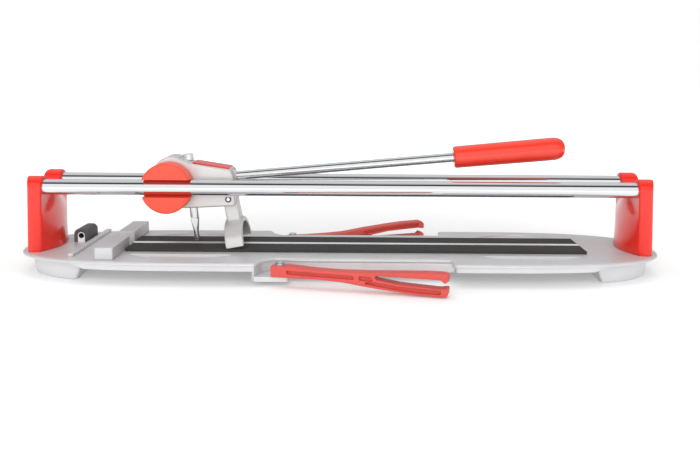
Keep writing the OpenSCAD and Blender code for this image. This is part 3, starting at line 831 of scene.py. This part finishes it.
def build_breaker():
    """Arch that stands astride the rib, on an arm that swings from the head's nose."""
    place = at(BREAK_PIN.x, 0, BREAK_PIN.z) @ turn(-10.5, "Y")
    foot = -48.2
    rise = 25.5
    half = 34
    thick = 5.5
    angles = [math.pi * k / 40 for k in range(41)]
    outer = [(half * math.cos(a), foot + rise * math.sin(a)) for a in angles]
    hollow = [((half - thick) * math.cos(a), foot + (rise - thick) * math.sin(a)) for a in reversed(angles)]
    bm = bmesh.new()
    prism(bm, outer + hollow, -9.5, 9.5, place @ ALONG_X, edge=1.3)
    root = foot + rise - 3
    flank = [(-7.2, root), (7.6, root), (7.4, -4, 3), (6.4, 3, 3), (0, 7.4, 6), (-6.4, 3, 3), (-7.4, -4, 3)]
    prism(bm, rounded(flank, 1), -9, 9, place @ ALONG_Y, edge=1.4, holes=[circle(0, 0, 2.06, 32)])
    obj = new_object("breaker_shoe", bm)
    finish_piece(obj, "breaker", "head", ("breaker_foot",))
    bm = bmesh.new()
    lathe(bm, [(1.6, -18.7), (2, -18.3), (2, 18.3), (1.6, 18.7)], at(*BREAK_PIN) @ turn(90, "X"), 40)
    finish_piece(new_object("shoe_pin", bm), "head", "plated", ("breaker_pin",))
    bm = bmesh.new()
    clip = arc(0, 0, 3.2, 118, 422, 36) + arc(0, 0, 2.05, 422, 118, 36)
    for side in (-1, 1):
        prism(bm, clip, side * 18 - 0.4, side * 18 + 0.4, at(BREAK_PIN.x, 0, BREAK_PIN.z) @ ALONG_Y,
              edge=0.15, steps=2)
    finish_piece(new_object("shoe_clips", bm), "head", "black_steel", ("breaker_clips",))


# ---------- side arms ----------

ARM_LOW = 10.6
ARM_TOP = 21.8
ARM_LEN = 165
ARM_HALF = 6.5


def arm_outline():
    """Side of an arm: X from the pivot to the tip, Z up. The tip forks into two hooked legs."""
    tip = ARM_LEN
    lower = [(-8, ARM_LOW, 1.5), (22, ARM_LOW, 20), (40, 10.5, 20), (62, 9.7, 30), (91, 6, 30),
             (119, 3.2, 30), (139, 1.6, 30), (tip - 3, 1, 2), (tip, 4, 2), (tip, 10, 1), (tip - 6, 9.4, 1),
             (tip - 8, 9, 1), (tip - 25, 9.8, 20), (118, 11, 20)]
    gap = [(97, 14.2, 1), (95, 16.2, 1), (97, 17.9, 1)]
    upper = [(tip - 7, 17.4, 1), (tip - 5, 15.4, 0.8), (tip - 3, 14.2, 0.8), (tip, 16.8, 1), (tip, 22.4, 1.5),
             (tip - 4, 23.4, 2), (tip - 22, 23.3, 30), (tip - 46, 22.1, 30), (90, 20.6, 30), (62, 19.8, 30),
             (36, 20.2, 20), (16, ARM_TOP - 0.4, 10), (8, ARM_TOP, 4), (-8, ARM_TOP, 1.5)]
    return rounded(lower + gap + upper, 0)


ARM_POCKETS = [
    [(8, 14.2), (75, 12.9), (75, 16.4), (8, 17.8)],
    [(80, 12.6), (93, 12), (93, 14.4), (91, 16.6), (80, 16.8)],
    [(86, 9.4), (97, 7.9), (119, 5.3), (139, 3.8), (158, 3.4),
     (158, 7.4), (118, 9.0), (97, 11.6), (86, 11.2)],
]


def build_arm(name, node, pivot, opening, turned_over=False):
    """A side arm at its pivot. The rear arm is the same part turned over."""
    eye = pivot.z - (ARM_LOW + ARM_TOP) / 2
    place = at(pivot.x, pivot.y, eye) @ turn(opening, "Z")
    if turned_over:
        place = place @ at(0, 0, ARM_LOW + ARM_TOP) @ Matrix.Diagonal((1, 1, -1, 1))
    bm = bmesh.new()
    prism(bm, arm_outline(), -ARM_HALF, ARM_HALF, place @ ALONG_Y, edge=0.9)
    obj = new_object(name, bm)
    for side in (-1, 1):
        for shape in ARM_POCKETS:
            cutter = bmesh.new()
            shape = ccw(rounded(shape, 1.4))
            rows = [(0.5, ARM_HALF - 3.2), (0.1, ARM_HALF - 2.9), (0, ARM_HALF - 0.3), (-0.5, ARM_HALF + 0.2),
                    (-0.5, ARM_HALF + 2)]
            rings = [ring(cutter, [(*p, side * h) for p in inset(shape, d)], place @ ALONG_Y)
                     for d, h in rows]
            closed(cutter, rings)
            combine(obj, cutter)
    bore = bmesh.new()
    lathe(bore, [(2.6, 0), (2.6, 40)], place, 32)
    combine(obj, bore)
    finish_piece(obj, node, "arm", (node,), angle=30)


def build_arm_fixings():
    screws, washers = bmesh.new(), bmesh.new()
    for pivot in (FRONT_PIVOT, REAR_PIVOT):
        top = pivot.z + (ARM_TOP - ARM_LOW) / 2
        socket_screw(screws, at(pivot.x, pivot.y, top + 0.75) @ turn(180, "X"), 2.5, 17, 4.8, 2.6, dome=1.9)
        prism(washers, circle(pivot.x, pivot.y, 6), top + 0.1, top + 0.7, edge=0.2, steps=2,
              holes=[circle(pivot.x, pivot.y, 2.6, 32)])
    finish_piece(new_object("pivot_screws", screws), "root", "plated", ("arm_screws",))
    finish_piece(new_object("pivot_washers", washers), "root", "plated", ("arm_washers",))


# ---------- studio ----------


def build_studio():
    scene = bpy.context.scene
    scene.view_settings.view_transform = "Standard"
    bm = bmesh.new()
    half = 9000
    bm.faces.new(ring(bm, [(-half, -half, 0), (half, -half, 0), (half, half, 0), (-half, half, 0)]))
    floor = new_object("floor", bm)
    paper = make_look("floor_look", (0.80, 0.80, 0.80), 0.9, shade=0.004, patch=3, grain=30, bump=0.0,
                      specular=0.05)
    tree = paper.node_tree
    # Painted light and shade: the floor glows, weakly near the object so the ground there stays darker, and
    # more strongly further out so the far floor reads white.
    glow = tree.nodes["Principled BSDF"]
    glow.inputs["Emission Color"].default_value = (1, 1, 1, 1)
    place = tree.nodes.new("ShaderNodeTexCoord")
    reach = tree.nodes.new("ShaderNodeVectorMath")
    reach.operation = "LENGTH"
    rise = tree.nodes.new("ShaderNodeMapRange")
    rise.interpolation_type = "SMOOTHSTEP"
    for name, value in (("From Min", 0.15), ("From Max", 0.95), ("To Min", 0.16), ("To Max", 0.75)):
        rise.inputs[name].default_value = value
    wire(tree, place.outputs["Object"], reach.inputs[0])
    wire(tree, reach.outputs["Value"], rise.inputs["Value"])
    wire(tree, rise.outputs["Result"], glow.inputs["Emission Strength"])
    floor.data.materials.append(paper)
    world = bpy.data.worlds.new("studio")
    scene.world = world
    world.use_nodes = True
    tree = world.node_tree
    tree.nodes.clear()
    out = tree.nodes.new("ShaderNodeOutputWorld")
    sky = tree.nodes.new("ShaderNodeBackground")
    backdrop = tree.nodes.new("ShaderNodeBackground")
    choose = tree.nodes.new("ShaderNodeMixShader")
    ray = tree.nodes.new("ShaderNodeLightPath")
    direction = tree.nodes.new("ShaderNodeTexCoord")
    split = tree.nodes.new("ShaderNodeSeparateXYZ")
    away = tree.nodes.new("ShaderNodeMath")
    away.operation = "MULTIPLY"
    away.inputs[1].default_value = -1
    around = tree.nodes.new("ShaderNodeMath")
    around.operation = "ARCTAN2"
    share = tree.nodes.new("ShaderNodeMapRange")
    share.inputs["From Min"].default_value = 0
    share.inputs["From Max"].default_value = math.pi
    ramp = tree.nodes.new("ShaderNodeValToRGB")
    stops = [(0.0, 1.0), (0.27, 1.0), (0.30, 0.05), (0.40, 0.05), (0.45, 0.50), (0.62, 0.80), (0.82, 0.62),
             (1.0, 0.35)]
    elements = ramp.color_ramp.elements
    while len(elements) < len(stops):
        elements.new(0.5)
    for element, (where, value) in zip(elements, stops):
        element.position = where
        element.color = (value, value, value, 1)
    wire(tree, direction.outputs["Generated"], split.inputs["Vector"])
    wire(tree, split.outputs["Y"], away.inputs[0])
    wire(tree, split.outputs["Z"], around.inputs[0])
    wire(tree, away.outputs["Value"], around.inputs[1])
    wire(tree, around.outputs["Value"], share.inputs["Value"])
    wire(tree, share.outputs["Result"], ramp.inputs["Fac"])
    wire(tree, ramp.outputs["Color"], sky.inputs["Color"])
    size = tree.nodes.new("ShaderNodeMath")
    size.operation = "ABSOLUTE"
    sides = tree.nodes.new("ShaderNodeMapRange")
    for name, value in (("From Min", 0.38), ("From Max", 0.62), ("To Min", 1.02), ("To Max", 0.5)):
        sides.inputs[name].default_value = value
    wire(tree, split.outputs["X"], size.inputs[0])
    wire(tree, size.outputs["Value"], sides.inputs["Value"])
    wire(tree, sides.outputs["Result"], sky.inputs["Strength"])
    backdrop.inputs["Color"].default_value = (1, 1, 1, 1)
    wire(tree, ray.outputs["Is Camera Ray"], choose.inputs["Fac"])
    wire(tree, sky.outputs["Background"], choose.inputs[1])
    wire(tree, backdrop.outputs["Background"], choose.inputs[2])
    wire(tree, choose.outputs["Shader"], out.inputs["Surface"])
    lights = [("front_light", (-0.2, -1.7, 0.75), (0, 0, 0.05), 1.1, 14),
              ("top_light", (0, -0.2, 1.6), (0, 0, 0), 1.6, 11),
              ("left_light", (-1.4, -1.0, 0.9), (0, 0, 0.05), 0.9, 4),
              ("right_light", (1.5, -0.9, 0.8), (0, 0, 0.05), 0.9, 4)]
    for name, spot, target, size, power in lights:
        data = bpy.data.lights.new(name, "AREA")
        data.size = size
        data.energy = power
        lamp = bpy.data.objects.new(name, data)
        lamp.location = spot
        lamp.visible_glossy = False
        lamp.rotation_euler = (Vector(target) - Vector(spot)).to_track_quat("-Z", "Y").to_euler()
        scene.collection.objects.link(lamp)


def build_camera():
    """The photograph's view: from the front, a little above, with the frame lowered by a small shift."""
    data = bpy.data.cameras.new("view_camera")
    data.sensor_width = 36
    data.lens = 42.59
    data.shift_y = -0.1
    camera = bpy.data.objects.new("view_camera", data)
    yaw, pitch, roll = 0.0057296, 0.11242, 0.0054302
    camera.matrix_world = (Matrix.Translation((0.01528, -0.87488, 0.21111)) @ Matrix.Rotation(yaw, 4, "Z")
                           @ Matrix.Rotation(math.pi / 2 - pitch, 4, "X") @ Matrix.Rotation(roll, 4, "Z"))
    bpy.context.scene.collection.objects.link(camera)
    bpy.context.scene.camera = camera


build_camera()
build_studio()
build_base()
build_pads()
build_strips()
build_stops()
build_case()
build_post("left_end_post", "left_post", ALONG_Z)
build_post("right_end_post", "right_post", MIRROR_X)
build_rails()
build_slider("slider_front", -1)
build_slider("slider_rear", 1)
build_head()
build_lever()
build_holder()
build_breaker()
build_arm("front_side_arm", "front_arm", FRONT_PIVOT, joints["front_arm_swing"]["range_deg"][0])
build_arm("rear_side_arm", "rear_arm", REAR_PIVOT, -joints["rear_arm_swing"]["range_deg"][0], True)
build_arm_fixings()
for cad_node in ("rib_screws", "stop_screws", "case_screw", "post_screws", "head_axle"):
    keep_cad(cad_node, "plated")
for cad_node in ("lever_set_screw", "wheel_pin"):
    keep_cad(cad_node, "black_steel")
